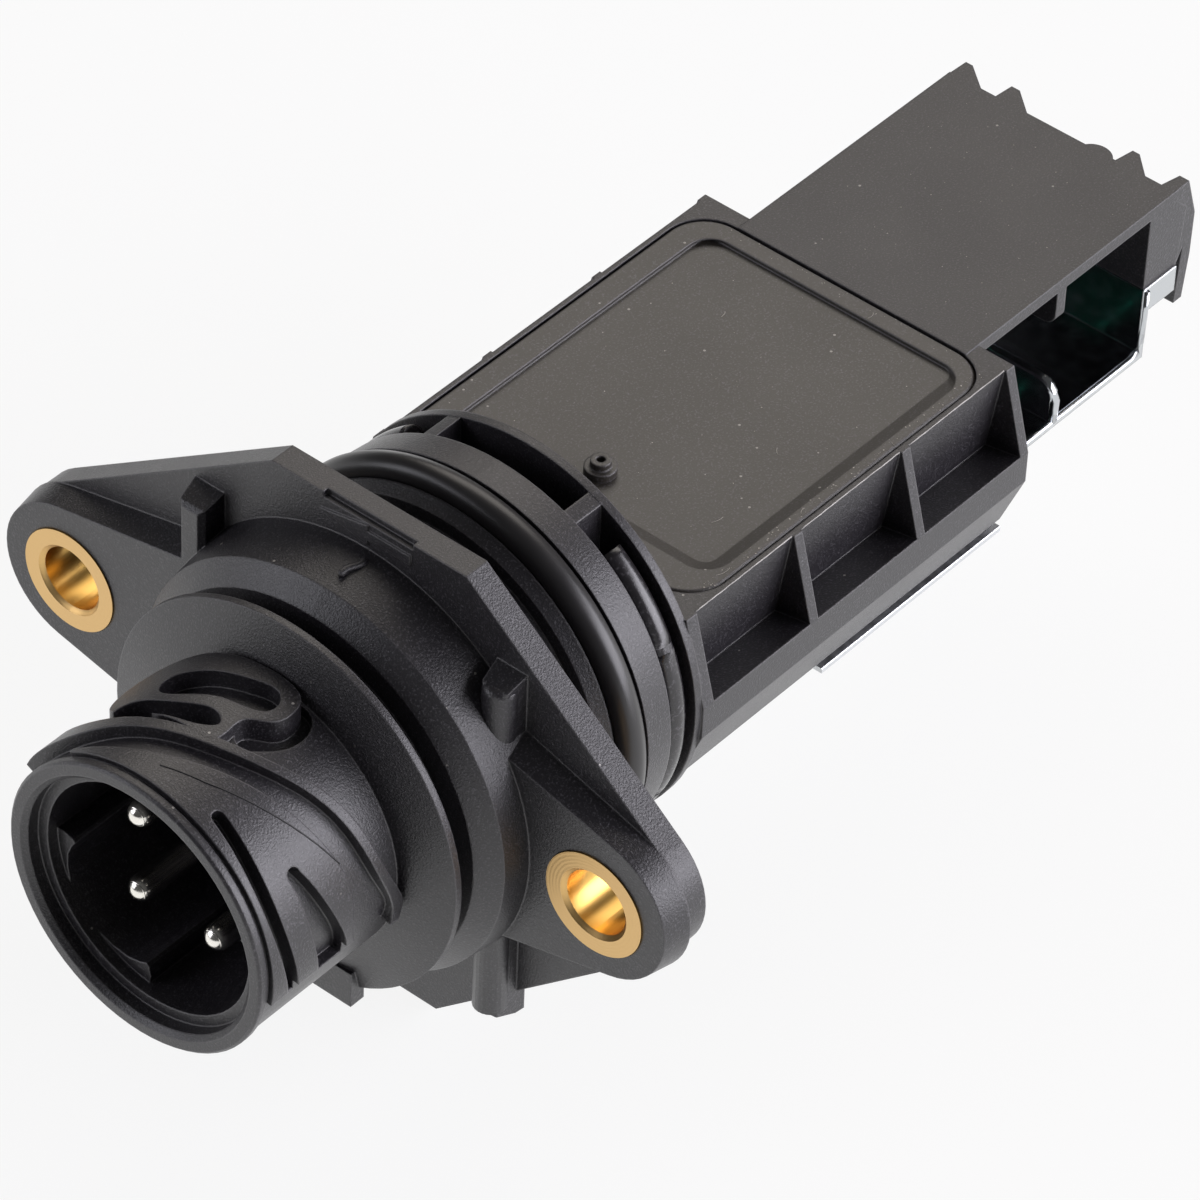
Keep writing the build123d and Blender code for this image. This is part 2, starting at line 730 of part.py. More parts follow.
def cover_lid():
    """The lid: a flat plate with rounded corners and a sunk panel."""
    lid = rounded_plate(lid_front_x, lid_rear_x, lid_half, lid_corner_r, lid_seat_z, lid_plane_z)
    panel_size = (panel_rear_x - panel_front_x, 2 * panel_half)
    middle = ((panel_front_x + panel_rear_x) / 2, 0)
    low = Pos(*middle, lid_plane_z - panel_depth) * RectangleRounded(*panel_size, panel_corner_r)
    brim = RectangleRounded(
        panel_size[0] + panel_slope, panel_size[1] + panel_slope, panel_corner_r + panel_slope
    )
    high = Pos(middle[0] - panel_slope / 2, -panel_slope / 2, lid_plane_z) * brim
    lid = chamfer(lid.faces().sort_by(Axis.Z)[-1].outer_wire().edges(), lid_edge_chamfer)
    lid -= loft([low, high], ruled=True)
    lid -= Pos(vent_x, vent_y, lid_seat_z) * Cylinder(vent_stem_r, 4 * lid_thickness)
    groove = rounded_plate(
        cavity_front_x - 1.2 - seal_width, cavity_rear_x + 0.2 + seal_width,
        cavity_half + 0.6 + seal_width, cavity_corner_r + 0.6 + seal_width,
        lid_seat_z, lid_seat_z + seal_height,
    ) - rounded_plate(
        cavity_front_x - 1.2, cavity_rear_x + 0.2, cavity_half + 0.6, cavity_corner_r + 0.6,
        lid_seat_z - 1, lid_seat_z + seal_height,
    )
    return lid - groove


def lid_seal():
    """The bead of sealant in the groove under the lid."""
    return rounded_plate(
        cavity_front_x - 1.2 - seal_width, cavity_rear_x + 0.2 + seal_width,
        cavity_half + 0.6 + seal_width, cavity_corner_r + 0.6 + seal_width,
        lid_seat_z, lid_seat_z + seal_height,
    ) - rounded_plate(
        cavity_front_x - 1.2, cavity_rear_x + 0.2, cavity_half + 0.6, cavity_corner_r + 0.6,
        lid_seat_z - 1, lid_seat_z + seal_height,
    )


def vent_plug():
    """The stepped vent plug pushed through the lid."""
    panel_z = lid_plane_z - panel_depth
    stem = Pos(0, 0, (lid_seat_z + panel_z) / 2) * Cylinder(
        vent_stem_r - pin_fit, panel_z - lid_seat_z + 0.02
    )
    base = Pos(0, 0, panel_z + vent_step / 2) * Cylinder(vent_base_r, vent_step)
    head = Pos(0, 0, panel_z + vent_height / 2) * Cylinder(vent_top_r, vent_height)
    hole = Pos(0, 0, panel_z + vent_height) * Cylinder(vent_hole_r, vent_height)
    plug = base + head + stem - hole
    return Pos(vent_x, vent_y, 0) * plug


def duct_liner():
    """The polished metal base plate that runs on as the lined trough of the duct."""
    floor_under = liner_floor_z - liner_thickness
    base = block(
        base_front_x, housing_rear_x, -base_half, base_half, bottom_z, bottom_z + liner_thickness
    )
    riser = block(
        housing_rear_x + 0.1, housing_rear_x + 0.1 + liner_thickness, -liner_half, liner_half,
        bottom_z, liner_floor_z,
    )
    joint = block(
        housing_rear_x - 0.1, housing_rear_x + 0.2, -liner_half, liner_half,
        bottom_z, bottom_z + liner_thickness,
    )
    floor = block(
        housing_rear_x + 0.1, liner_wall_x + liner_wall_thickness, -liner_half, liner_half,
        floor_under, liner_floor_z,
    )
    wall = block(
        liner_wall_x, liner_wall_x + liner_wall_thickness, -liner_half, liner_half,
        floor_under, liner_wall_top_z,
    )
    lip = block(
        liner_wall_x, liner_lip_x - 0.05, -liner_half, liner_half,
        liner_wall_top_z - liner_lip_height, liner_wall_top_z,
    )
    divider = block(
        divider_x, divider_x + divider_thickness, -liner_half, liner_half,
        liner_floor_z - 0.1, divider_top_z,
    )
    upper_edges = divider.edges().filter_by(Axis.X).group_by(Axis.Z)[-1]
    divider = fillet(upper_edges, divider_corner_r)
    return base + joint + riser + floor + wall + lip + divider


def circuit_board():
    """The ceramic board on the floor of the compartment."""
    return rounded_plate(
        board_front_x, board_rear_x, board_half, 0.8,
        cavity_floor_z, board_top_z,
    )


def standing(size, x, y, z):
    """A block of the given size standing on a level at z."""
    length, width, height = size
    return block(x - length / 2, x + length / 2, y - width / 2, y + width / 2, z, z + height)


def standing_group(size, places):
    """Equal blocks standing on the board."""
    return Compound(children=[standing(size, x, y, board_top_z) for x, y in places])


def sensing_element():
    """The thin blade that reaches from the compartment into the duct."""
    return block(
        cavity_rear_x - element_root, housing_rear_x + element_reach,
        -element_width / 2, element_width / 2,
        element_z - element_thickness / 2, element_z + element_thickness / 2,
    )


def element_holder():
    """The carrier on the compartment floor that grips the root of the blade."""
    carrier = block(
        holder_front_x, cavity_rear_x, -holder_half, holder_half,
        cavity_floor_z, element_z + element_thickness / 2 + holder_top,
    )
    return carrier - block(
        holder_front_x - 1, cavity_rear_x + 1,
        -element_width / 2 - pin_fit, element_width / 2 + pin_fit,
        element_z - element_thickness / 2, element_z + element_thickness / 2,
    )


def write(name, shape):
    """One STEP file for each named piece."""
    shape.label = name
    export_step(shape, "parts/" + name + ".step")


os.makedirs("parts", exist_ok=True)
write("sensor_body", sensor_body())
write("bush_left", bush(bush_ys[0]))
write("bush_right", bush(bush_ys[1]))
for number, (pin_y, pin_z) in enumerate(pin_places(), start=1):
    write("contact_pin_" + str(number), contact_pin(pin_y, pin_z))
write("sealing_ring", sealing_ring())
write("cover_lid", cover_lid())
write("lid_seal", lid_seal())
write("vent_plug", vent_plug())
write("duct_liner", duct_liner())
write("circuit_board", circuit_board())
write("bond_wires", bond_wires())
write("control_chip", standing(chip_size, chip_x, 0, board_top_z))
write("output_chip", standing(output_chip_size, *output_chip_place, board_top_z))
write("chip_capacitors", standing_group(capacitor_size, capacitor_places))
write("chip_resistors", standing_group(resistor_size, resistor_places))
write("element_holder", element_holder())
write("sensing_element", sensing_element())
write("heater_film", standing(film_size, film_x, 0, element_z + element_thickness / 2))
write("thermistor", standing(thermistor_size, thermistor_x, 0, element_z + element_thickness / 2))
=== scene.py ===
import math
import random

import bpy
from mathutils import Matrix, Vector


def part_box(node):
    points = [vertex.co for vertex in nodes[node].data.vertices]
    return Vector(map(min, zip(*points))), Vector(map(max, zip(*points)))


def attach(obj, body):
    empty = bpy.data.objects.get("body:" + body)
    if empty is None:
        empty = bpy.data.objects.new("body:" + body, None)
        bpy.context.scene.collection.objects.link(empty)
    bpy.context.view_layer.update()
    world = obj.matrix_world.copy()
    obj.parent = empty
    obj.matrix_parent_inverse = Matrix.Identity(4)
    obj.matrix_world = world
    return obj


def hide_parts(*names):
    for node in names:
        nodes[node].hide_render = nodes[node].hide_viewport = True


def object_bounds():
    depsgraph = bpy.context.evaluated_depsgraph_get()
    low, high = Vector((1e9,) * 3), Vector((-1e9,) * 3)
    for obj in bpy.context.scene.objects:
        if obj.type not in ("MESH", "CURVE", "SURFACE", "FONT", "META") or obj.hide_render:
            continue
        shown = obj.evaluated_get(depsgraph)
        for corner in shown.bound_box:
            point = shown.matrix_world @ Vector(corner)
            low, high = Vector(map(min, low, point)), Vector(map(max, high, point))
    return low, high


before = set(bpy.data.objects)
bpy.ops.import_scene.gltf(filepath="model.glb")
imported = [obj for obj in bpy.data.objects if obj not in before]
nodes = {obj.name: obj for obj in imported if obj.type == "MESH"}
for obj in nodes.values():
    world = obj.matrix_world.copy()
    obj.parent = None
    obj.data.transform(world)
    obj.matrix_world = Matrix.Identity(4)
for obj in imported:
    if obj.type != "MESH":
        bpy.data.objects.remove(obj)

cad_box = [list(corner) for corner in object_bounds()]

# Camera
# A long lens looks down on the sensor from the connector's end, lid side up.
look_from = Vector((-0.344514, -0.296206, 0.425485))
look_azimuth, look_height, look_roll = -51.575, 42.138, 2.635
lens_mm, sensor_mm = 217.8, 36.0
camera = bpy.data.objects.new("camera", bpy.data.cameras.new("camera"))
bpy.context.scene.collection.objects.link(camera)
camera.data.lens = lens_mm
camera.data.sensor_width = sensor_mm
camera.data.sensor_fit = "HORIZONTAL"
camera.data.clip_start = 0.01
camera.matrix_world = (
    Matrix.Translation(look_from)
    @ Matrix.Rotation(math.radians(look_azimuth), 4, "Z")
    @ Matrix.Rotation(math.radians(90 - look_height), 4, "X")
    @ Matrix.Rotation(math.radians(look_roll), 4, "Z")
)
bpy.context.scene.camera = camera
bpy.context.scene.view_settings.view_transform = "Standard"


# Table and light
# A seamless sheet of matt white paper lies under the sensor, lit by soft boxes behind it and at
# both sides. The sheet shows as white, with the faint shadow that soft light leaves.
def linear(code):
    """An sRGB hex colour as the linear RGBA that shaders take."""
    channels = [int(code[i:i + 2], 16) / 255 for i in (1, 3, 5)]
    return [c / 12.92 if c <= 0.04045 else ((c + 0.055) / 1.055) ** 2.4 for c in channels] + [1.0]


def add(tree, kind, settings=None, **links):
    """One shader node with its settings, and the links or values of its sockets.

    A socket goes by its name, with underscores for spaces, or by its number after an underscore.
    """
    node = tree.nodes.new(kind)
    for name, value in (settings or {}).items():
        setattr(node, name, value)
    for name, value in links.items():
        key = int(name[1:]) if name[1:].isdigit() else name.replace("_", " ")
        if isinstance(value, bpy.types.NodeSocket):
            tree.links.new(value, node.inputs[key])
        else:
            node.inputs[key].default_value = value
    return node


def new_material(name):
    """An empty node material and its tree."""
    material = bpy.data.materials.new(name)
    material.use_nodes = True
    material.node_tree.nodes.clear()
    return material, material.node_tree


floor_half, floor_drop = 3.0, 0.0004
floor_z = cad_box[0][2] - floor_drop
corners = ((-1, -1), (1, -1), (1, 1), (-1, 1))
floor_mesh = bpy.data.meshes.new("white_sheet")
floor_mesh.from_pydata([(x * floor_half, y * floor_half, floor_z) for x, y in corners], [], [(0, 1, 2, 3)])
floor = bpy.data.objects.new("white_sheet", floor_mesh)
bpy.context.scene.collection.objects.link(floor)

lit_share, glossy_white = 0.88, 1.35
sheet_paper, tree = new_material("matt_white_paper")
matt = add(tree, "ShaderNodeBsdfDiffuse", Color=linear("#e6e6e6"))
ray = add(tree, "ShaderNodeLightPath")
to_camera, to_gloss = ray.outputs["Is Camera Ray"], ray.outputs["Is Glossy Ray"]
glow = add(tree, "ShaderNodeMapRange", _0=to_gloss, _3=1.0, _4=glossy_white)
plain_white = add(tree, "ShaderNodeEmission", Color=(1.0, 1.0, 1.0, 1.0), Strength=glow.outputs[0])
seen = add(tree, "ShaderNodeMath", {"operation": "MAXIMUM"}, _0=to_camera, _1=to_gloss)
share = add(tree, "ShaderNodeMath", {"operation": "MULTIPLY"}, _0=seen.outputs[0], _1=lit_share)
blend = add(tree, "ShaderNodeMixShader", _0=share.outputs[0], _1=matt.outputs[0], _2=plain_white.outputs[0])
add(tree, "ShaderNodeOutputMaterial", Surface=blend.outputs[0])
floor_mesh.materials.append(sheet_paper)

room_strength = 0.09
world = bpy.data.worlds.new("studio")
bpy.context.scene.world = world
world.use_nodes = True
tree = world.node_tree
tree.nodes.clear()
room = add(tree, "ShaderNodeBackground", Color=(1.0, 1.0, 1.0, 1.0), Strength=room_strength)
white = add(tree, "ShaderNodeBackground", Color=(1.0, 1.0, 1.0, 1.0), Strength=1.0)
to_camera = add(tree, "ShaderNodeLightPath").outputs["Is Camera Ray"]
blend = add(tree, "ShaderNodeMixShader", _0=to_camera, _1=room.outputs[0], _2=white.outputs[0])
add(tree, "ShaderNodeOutputWorld", Surface=blend.outputs[0])

lit_spot = Vector((0.03, 0.0, 0.0))
for name, place, size, power, tint in (
    ("soft_box_behind", (0.78, 0.42, 0.86), (1.1, 0.8), 7.0, "#fff8f0"),
    ("soft_box_right", (0.55, -0.95, 0.24), (1.2, 0.95), 26.0, "#f8f6ff"),
    ("soft_box_left", (-0.80, 0.75, 0.40), (0.8, 0.6), 5.0, "#f6f6ff"),
):
    lamp = bpy.data.lights.new(name, "AREA")
    lamp.shape = "RECTANGLE"
    lamp.size, lamp.size_y = size
    lamp.energy = power
    lamp.color = linear(tint)[:3]
    holder = bpy.data.objects.new(name, lamp)
    bpy.context.scene.collection.objects.link(holder)
    holder.location = place
    holder.rotation_euler = (lit_spot - Vector(place)).to_track_quat("-Z", "Y").to_euler()


# Sensor body
# One injection moulding in black PBT filled with glass fibre. The spark-eroded mould leaves a fine
# satin grain, and fibres near the skin break the gloss up into small lighter flecks. Real grain
# and fibres are finer than the picture can show, so both are drawn coarser.
def dress(node_name, material):
    """Puts a finish on a CAD node."""
    node = nodes[node_name]
    node.data.materials.clear()
    node.data.materials.append(material)


colours = {"data_type": "RGBA"}
PBT_ior = 1.57


def moulded_plastic(name, dark, light, grain_mm, grain_depth_mm, roughness, dust, edge_mm):
    """Moulded PBT: slow drift of colour, grain, lighter edges that are part rubbed wear and part painted
    highlight, and dust where a face looks up.
    """
    drift_mm, dust_grid_mm = 9.09, 1.923
    dust_radius = 0.065
    material, tree = new_material(name)
    where = add(tree, "ShaderNodeTexCoord").outputs["Object"]
    drift = add(tree, "ShaderNodeTexNoise", Vector=where, Scale=1000 / drift_mm, Detail=3.0).outputs["Fac"]
    fine = add(
        tree, "ShaderNodeTexNoise", Vector=where, Scale=1000 / grain_mm, Detail=2.0, Roughness=0.6
    ).outputs["Fac"]
    tone = add(tree, "ShaderNodeMix", colours, _0=drift, _6=linear(dark), _7=linear(light))

    fleck = add(tree, "ShaderNodeMapRange", _0=fine, _1=0.54, _2=0.74, _3=0.0, _4=0.85)
    flecked = add(
        tree, "ShaderNodeMix", colours, _0=fleck.outputs[0], _6=tone.outputs[2], _7=linear("#545256")
    )

    soft = add(tree, "ShaderNodeBevel", {"samples": 6}, Radius=edge_mm / 1000).outputs[0]
    facing = add(tree, "ShaderNodeNewGeometry").outputs["Normal"]
    # Edges are painted lighter (#6c6a6c): partly rubbed wear, partly a painted highlight along them.
    turn = add(tree, "ShaderNodeVectorMath", {"operation": "DOT_PRODUCT"}, _0=soft, _1=facing)
    rubbed_and_highlit = add(
        tree, "ShaderNodeMapRange", _0=turn.outputs["Value"], _1=0.995, _2=0.88, _3=0.0, _4=0.55
    )
    worn_and_highlit = add(
        tree, "ShaderNodeMix", colours, _0=rubbed_and_highlit.outputs[0], _6=flecked.outputs[2], _7=linear("#6c6a6c")
    )

    specks = add(tree, "ShaderNodeTexVoronoi", Vector=where, Scale=1000 / dust_grid_mm)
    near = add(
        tree, "ShaderNodeMath", {"operation": "LESS_THAN"}, _0=specks.outputs["Distance"], _1=dust_radius
    )
    pick = add(tree, "ShaderNodeSeparateColor", Color=specks.outputs["Color"])
    rare = add(tree, "ShaderNodeMath", {"operation": "GREATER_THAN"}, _0=pick.outputs["Red"], _1=1.0 - dust)
    upward = add(tree, "ShaderNodeSeparateXYZ", Vector=facing)
    lying = add(tree, "ShaderNodeMapRange", _0=upward.outputs["Z"], _1=0.1, _2=0.7, _3=0.0, _4=0.75)
    speck = add(tree, "ShaderNodeMath", {"operation": "MULTIPLY"}, _0=near.outputs[0], _1=rare.outputs[0])
    dusty = add(tree, "ShaderNodeMath", {"operation": "MULTIPLY"}, _0=speck.outputs[0], _1=lying.outputs[0])
    colour = add(
        tree, "ShaderNodeMix", colours, _0=dusty.outputs[0], _6=worn_and_highlit.outputs[2], _7=linear("#a5a19b")
    )

    gloss = add(
        tree, "ShaderNodeMapRange", _0=drift, _1=0.3, _2=0.7, _3=roughness - 0.015, _4=roughness + 0.02
    )
    grain = add(
        tree, "ShaderNodeBump", Strength=0.55, Distance=grain_depth_mm / 1000, Height=fine, Normal=soft
    )
    skin = add(
        tree, "ShaderNodeBsdfPrincipled", Base_Color=colour.outputs[2], Roughness=gloss.outputs[0],
        IOR=PBT_ior, Normal=grain.outputs[0],
    )
    add(tree, "ShaderNodeOutputMaterial", Surface=skin.outputs[0])
    return material


body_plastic = moulded_plastic(
    "glass_filled_PBT_spark_eroded", dark="#19171b", light="#1f1d21", grain_mm=0.20,
    grain_depth_mm=0.09, roughness=0.41, dust=0.30, edge_mm=0.24,
)
dress("sensor_body", body_plastic)


# Marks of the mould
# Where the two mould halves meet, a hairline winds across the shroud, coloured darker than the body as
# painted shade. A scratch in the mould leaves a short raised tick on the barrel. Both are part of the
# moulding and lie on its skin.
def mesh_piece(name, points, faces, material, smooth=True):
    """A new piece from points in millimetres, riding on the sensor."""
    mesh = bpy.data.meshes.new(name)
    mesh.from_pydata([[c / 1000 for c in point] for point in points], [], faces)
    mesh.polygons.foreach_set("use_smooth", [smooth] * len(mesh.polygons))
    mesh.materials.append(material)
    piece = bpy.data.objects.new(name, mesh)
    bpy.context.scene.collection.objects.link(piece)
    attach(piece, "root")
    return piece


def around_axis(x, angle, radius):
    """A point in millimetres at an angle from +Y towards +Z round the spigot's axis."""
    turn = math.radians(angle)
    return (x, radius * math.cos(turn), radius * math.sin(turn))


def ring_skin(rings, sides, closed=False):
    """Faces over rings of points, each ring turning clockwise as seen along the row of rings."""
    faces = []
    for ring in range(rings if closed else rings - 1):
        here, ahead = ring * sides, (ring + 1) % rings * sides
        for side in range(sides):
            after = (side + 1) % sides
            faces.append((here + side, ahead + side, ahead + after, here + after))
    return faces


def end_caps(rings, sides):
    """One face over the first ring and one over the last."""
    return [tuple(range(sides)), tuple(reversed(range((rings - 1) * sides, rings * sides)))]


def swept(path, section_r, sides):
    """Points and faces of a round bead along a path in millimetres."""
    points, last = [], len(path) - 1
    for index, spot in enumerate(path):
        ahead = Vector(path[min(index + 1, last)]) - Vector(path[max(index - 1, 0)])
        upright = Vector((0.0, 0.0, 1.0) if abs(ahead.normalized().z) < 0.9 else (1.0, 0.0, 0.0))
        across = ahead.cross(upright).normalized()
        up = across.cross(ahead).normalized()
        for side in range(sides):
            turn = 2 * math.pi * side / sides
            points.append(Vector(spot) + section_r * (math.cos(turn) * across + math.sin(turn) * up))
    return points, ring_skin(len(path), sides) + end_caps(len(path), sides)


mottle_mm = 0.667
mould_line_shade, tree = new_material("PBT_mould_line_painted_shade")
where = add(tree, "ShaderNodeTexCoord").outputs["Object"]
mottle = add(tree, "ShaderNodeTexNoise", Vector=where, Scale=1000 / mottle_mm)
# The hairline's PBT is painted darker than the body's, as painted shade along the mould line.
tone = add(
    tree, "ShaderNodeMix", colours, _0=mottle.outputs["Fac"], _6=linear("#0b0a0c"), _7=linear("#161417")
)
skin = add(tree, "ShaderNodeBsdfPrincipled", Base_Color=tone.outputs[2], Roughness=0.6, IOR=PBT_ior)
add(tree, "ShaderNodeOutputMaterial", Surface=skin.outputs[0])

line_bends = ((91, -28.5), (106, -27.1), (123, -24.9), (145, -22.0), (157, -20.5))
line_r, line_section_r, line_steps = 14.60, 0.07, 6
line = []
for (start_angle, start_x), (end_angle, end_x) in zip(line_bends, line_bends[1:]):
    for step in range(line_steps):
        angle = start_angle + (end_angle - start_angle) * step / line_steps
        line.append(around_axis(start_x + (end_x - start_x) * step / line_steps, angle, line_r))
points, faces = swept(line, line_section_r, 6)
mesh_piece("shroud_parting_line", points, faces, mould_line_shade)

tick = (
    (-6.45, 90.4), (-6.3, 90.8), (-5.6, 90.7), (-5.1, 91.2), (-4.5, 91.9), (-3.95, 92.1), (-3.8, 91.8),
)
tick_r, tick_section_r = 21.0, 0.36
points, faces = swept([around_axis(x, angle, tick_r) for x, angle in tick], tick_section_r, 10)
mesh_piece("barrel_tick", points, faces, body_plastic)


# Snap bead
# The bead behind the flange is formed by a polished groove of the mould, so the same PBT is smooth
# and glossier there. It runs round the spigot except for a gap at the top.
bead_x, bead_r, bead_section_r = 15.87, 18.7, 1.22
bead_start, bead_sweep, bead_steps = 126, 288, 144
bead_plastic = moulded_plastic(
    "glass_filled_PBT_polished_mould", dark="#1b191c", light="#201e21", grain_mm=0.35,
    grain_depth_mm=0.02, roughness=0.27, dust=0.10, edge_mm=0.10,
)
bead = [
    around_axis(bead_x, bead_start + bead_sweep * step / bead_steps, bead_r)
    for step in range(bead_steps + 1)
]
points, faces = swept(bead, bead_section_r, 24)
mesh_piece("snap_bead_skin", points, faces, bead_plastic)


# Near post
# The near post of the flange is moulded with the body. Its front is a half-round column with a
# broken edge at both ends.
nose_x, nose_y, nose_r, nose_sides = -4.1, -16.1, 1.6, 24
nose_profile = ((16.95, 0.5), (16.75, 0.15), (16.3, 0.0), (-20.6, 0.0), (-20.95, 0.35))
points = []
for z, inset in nose_profile:
    for side in range(nose_sides):
        turn = 2 * math.pi * side / nose_sides
        points.append((
            nose_x + (nose_r - inset) * math.cos(turn), nose_y + (nose_r - inset) * math.sin(turn), z,
        ))
faces = ring_skin(len(nose_profile), nose_sides) + end_caps(len(nose_profile), nose_sides)
mesh_piece("near_post_nose", points, faces, body_plastic)


# Painted highlight on the housing's edge
# The near wall of the housing ends in a thin sharp edge between the gussets. A pale, slightly wavy
# line along it is a painted highlight on that edge.
highlight_break_mm = 1.111
edge_highlight_plastic, tree = new_material("PBT_edge_painted_highlight")
where = add(tree, "ShaderNodeTexCoord").outputs["Object"]
highlight_break = add(tree, "ShaderNodeTexNoise", Vector=where, Scale=1000 / highlight_break_mm, Detail=2.0)
# The pale tones are a painted highlight along the sharp edge, broken up by noise.
tone = add(
    tree, "ShaderNodeMix", colours, _0=highlight_break.outputs["Fac"], _6=linear("#55524f"), _7=linear("#d5d2ce")
)
skin = add(tree, "ShaderNodeBsdfPrincipled", Base_Color=tone.outputs[2], Roughness=0.5, IOR=PBT_ior)
add(tree, "ShaderNodeOutputMaterial", Surface=skin.outputs[0])

edge_y, edge_z, edge_section_r, edge_waver, edge_steps = -17.57, 9.68, 0.06, 0.02, 20
waver = random.Random(3)
for number, (start, end) in enumerate(((19.9, 32.9), (34.2, 47.9), (49.2, 62.8)), 1):
    edge = [
        (start + (end - start) * step / edge_steps, edge_y + waver.uniform(-edge_waver, edge_waver), edge_z)
        for step in range(edge_steps + 1)
    ]
    points, faces = swept(edge, edge_section_r, 6)
    mesh_piece("painted_highlight_edge_" + str(number), points, faces, edge_highlight_plastic)


# Lid and vent
# The lid is a thin moulding of smoother PBT, glued flush into the housing. A small stepped vent
# plug of the same plastic stands in its sunk panel. The eye sees an even, warm grey satin.
lid_plastic = moulded_plastic(
    "smooth_moulded_PBT", dark="#28241f", light="#2f2b26", grain_mm=0.20,
    grain_depth_mm=0.02, roughness=0.43, dust=0.45, edge_mm=0.30,
)
dress("cover_lid", lid_plastic)
dress("vent_plug", lid_plastic)


# Dust on the lid and roof
# Pale flakes have settled on the faces that look up, most of them along the lid's rim, with a few
# short curled fibres. They are too fine for CAD and lie loose on the plastic.
patch_mm = 2.5
dust, tree = new_material("pale_dust")
where = add(tree, "ShaderNodeTexCoord").outputs["Object"]
patch = add(tree, "ShaderNodeTexNoise", Vector=where, Scale=1000 / patch_mm)
tone = add(
    tree, "ShaderNodeMix", colours, _0=patch.outputs["Fac"], _6=linear("#8f8b84"), _7=linear("#cfc9bf")
)
skin = add(tree, "ShaderNodeBsdfPrincipled", Base_Color=tone.outputs[2], Roughness=0.9)
add(tree, "ShaderNodeOutputMaterial", Surface=skin.outputs[0])

panel_z, rim_z, roof_z = 9.25, 9.7, 9.8
flake_lift, fibre_lift, fibre_r, fibre_steps = 0.02, 0.04, 0.018, 6
chance = random.Random(7)
points, faces = [], []


def flake(x, y, z, radius):
    """One flat flake with five uneven corners."""
    start = len(points)
    for corner in range(5):
        turn = 2 * math.pi * (corner + chance.uniform(-0.3, 0.3)) / 5
        reach = radius * chance.uniform(0.6, 1.2)
        points.append((x + reach * math.cos(turn), y + reach * math.sin(turn), z + flake_lift))
    faces.append(tuple(range(start, start + 5)))


def fibre(x, y, z, length):
    """One curled fibre that lies on a face."""
    heading, bend = chance.uniform(0, 6.28), chance.uniform(-0.28, 0.28)
    path = []
    for step in range(fibre_steps + 1):
        path.append((x, y, z + fibre_lift))
        x += length / fibre_steps * math.cos(heading)
        y += length / fibre_steps * math.sin(heading)
        heading += bend
    more, strips = swept(path, fibre_r, 4)
    start = len(points)
    points.extend(more)
    faces.extend([tuple(start + corner for corner in strip) for strip in strips])


for count, (low_x, high_x), (low_y, high_y), z, radii in (
    (60, (27, 59), (-13, 13), panel_z, (0.025, 0.03, 0.04, 0.07)),
    (110, (22, 61), (-16.8, -15.8), rim_z, (0.03, 0.035, 0.05, 0.085)),
    (30, (20.8, 23.0), (-13, 13), rim_z, (0.03, 0.08)),
    (35, (60.9, 61.9), (-13, 13), rim_z, (0.03, 0.07)),
    (60, (65, 92), (-13, 12), roof_z, (0.03, 0.07)),
):
    for _ in range(count):
        x, y = chance.uniform(low_x, high_x), chance.uniform(low_y, high_y)
        flake(x, y, z, chance.uniform(*radii) if len(radii) == 2 else chance.choice(radii))
for x, y, z, length in (
    (30.0, -11.0, panel_z, 1.3), (24.6, -15.95, rim_z, 1.6), (41.5, -9.0, panel_z, 0.9),
    (22.2, -9.5, rim_z, 1.2), (48.5, -16.2, rim_z, 1.1), (52.0, 6.0, panel_z, 0.8),
    (36.5, -16.1, rim_z, 0.9), (61.2, -4.0, rim_z, 1.0),
):
    fibre(x, y, z, length)
mesh_piece("settled_dust", points, faces, dust, smooth=False)


# Bushes
# Brass sleeves, turned and pressed into the ears. The faced ends are pale with fine tool rings,
# drawn coarser than the real feed marks, and the reamed bores are bright and deeper in colour.
def turned_brass(name, centre_y):
    """Brass with tool rings round one bush's axis, deeper in colour and brighter in the bore."""
    tool_mark_mm, tool_mark_depth_mm = 0.349, 0.02
    material, tree = new_material(name)
    where = add(tree, "ShaderNodeTexCoord").outputs["Object"]
    shifted = add(
        tree, "ShaderNodeVectorMath", {"operation": "SUBTRACT"}, _0=where, _1=(0.0, centre_y, 0.0)
    )
    rings = add(
        tree, "ShaderNodeTexWave",
        {"wave_type": "RINGS", "rings_direction": "X", "wave_profile": "SIN"},
        Vector=shifted.outputs[0], Scale=100 * math.pi / tool_mark_mm, Distortion=0.4, Detail=1.0,
    )
    facing = add(tree, "ShaderNodeSeparateXYZ", Vector=add(tree, "ShaderNodeNewGeometry").outputs["Normal"])
    end_face = add(tree, "ShaderNodeMath", {"operation": "ABSOLUTE"}, _0=facing.outputs["X"]).outputs[0]
    tone = add(tree, "ShaderNodeMix", colours, _0=end_face, _6=linear("#cfa65c"), _7=linear("#cfae79"))
    gloss = add(tree, "ShaderNodeMapRange", _0=end_face, _1=0.2, _2=0.9, _3=0.30, _4=0.52)
    marks = add(
        tree, "ShaderNodeBump", Strength=0.35, Distance=tool_mark_depth_mm / 1000,
        Height=rings.outputs["Fac"],
    )
    metal = add(
        tree, "ShaderNodeBsdfPrincipled", Base_Color=tone.outputs[2], Metallic=1.0,
        Roughness=gloss.outputs[0], Normal=marks.outputs[0],
    )
    add(tree, "ShaderNodeOutputMaterial", Surface=metal.outputs[0])
    return material


for bush_name in ("bush_left", "bush_right"):
    low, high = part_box(bush_name)
    dress(bush_name, turned_brass("turned_brass_" + bush_name, (low.y + high.y) / 2))


